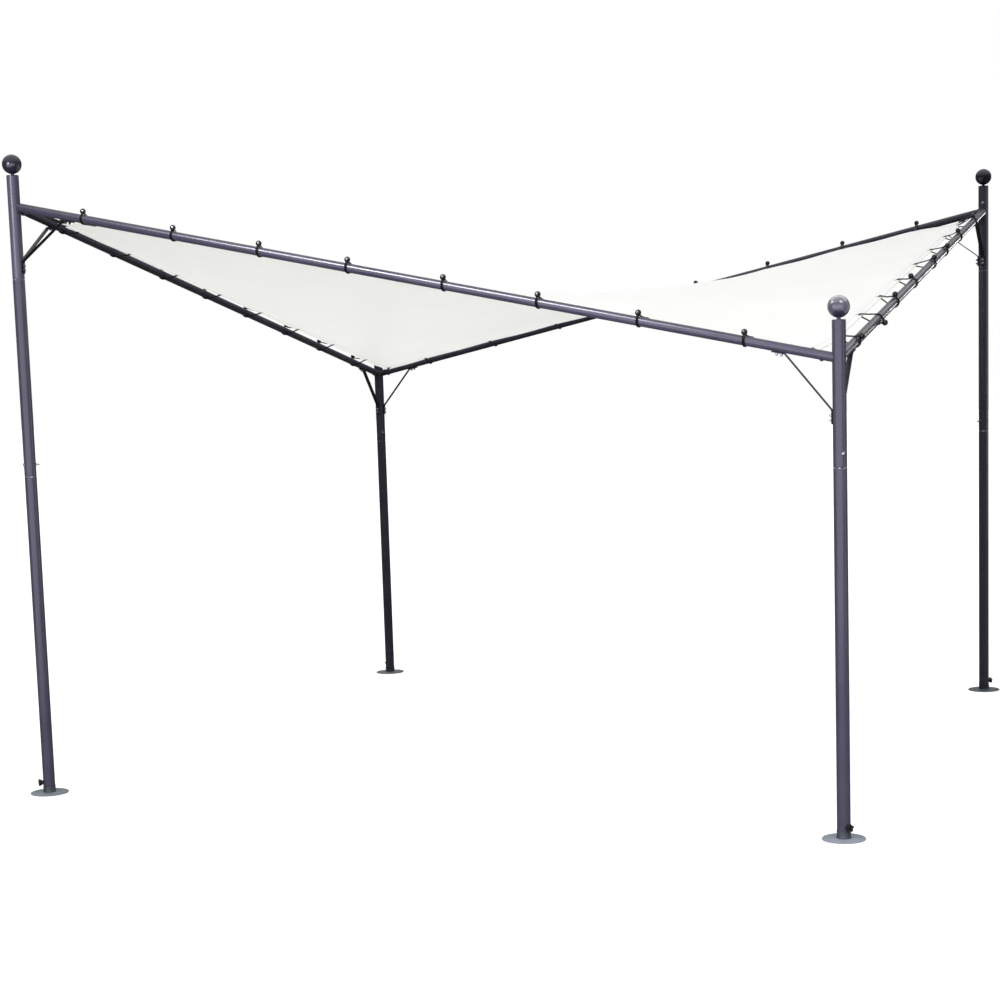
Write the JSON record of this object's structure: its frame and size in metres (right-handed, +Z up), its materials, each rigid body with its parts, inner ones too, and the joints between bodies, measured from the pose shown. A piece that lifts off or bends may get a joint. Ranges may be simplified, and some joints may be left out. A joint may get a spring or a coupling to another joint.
{
  "type": "garden pavilion",
  "caption": "Square open garden pavilion: round steel posts, tall and short in turn, carry sloping beams with a saddle-shaped fabric canopy tied between them.",
  "frame": {"origin": "centre of the square of the posts, on the ground under the foot plates", "axes": "+Z up, -Y towards the front beam, +X towards the right beam; the tall posts stand front left and back right"},
  "size_m": [3.61, 3.61, 2.69],
  "materials": {
    "frame_paint": "satin anthracite powder coat",
    "brace_paint": "satin anthracite powder coat on flat bar",
    "foot_plate": "weathered grey coated steel",
    "knob_plastic": "black moulded plastic",
    "finial_gloss": "glossy dark plastic ball",
    "canopy_fabric": "white coated polyester",
    "tie_elastic": "black braided elastic"
  },
  "bodies": {
    "root": {"foot_front_left": "foot_plate", "foot_front_right": "foot_plate", "foot_back_left": "foot_plate", "foot_back_right": "foot_plate", "foot_knob_front_left": "knob_plastic", "foot_knob_front_right": "knob_plastic", "foot_knob_back_left": "knob_plastic", "foot_knob_back_right": "knob_plastic", "post_lower_front_left": "frame_paint", "post_lower_front_right": "frame_paint", "post_lower_back_left": "frame_paint", "post_lower_back_right": "frame_paint", "post_middle_front_left": "frame_paint", "post_middle_back_right": "frame_paint", "post_top_front_left": "frame_paint", "post_top_front_right": "frame_paint", "post_top_back_left": "frame_paint", "post_top_back_right": "frame_paint", "finial_front_left": "finial_gloss", "finial_front_right": "finial_gloss", "finial_back_left": "finial_gloss", "finial_back_right": "finial_gloss", "beam_front": "frame_paint", "beam_right": "frame_paint", "beam_back": "frame_paint", "beam_left": "frame_paint", "brace_front_left_front": "brace_paint", "brace_front_left_left": "brace_paint", "brace_front_right_front": "brace_paint", "brace_front_right_right": "brace_paint", "brace_back_left_back": "brace_paint", "brace_back_left_left": "brace_paint", "brace_back_right_back": "brace_paint", "brace_back_right_right": "brace_paint", "canopy": "canopy_fabric", "hem_front": "tie_elastic", "hem_right": "tie_elastic", "hem_back": "tie_elastic", "hem_left": "tie_elastic"}
  },
  "joints": []
}
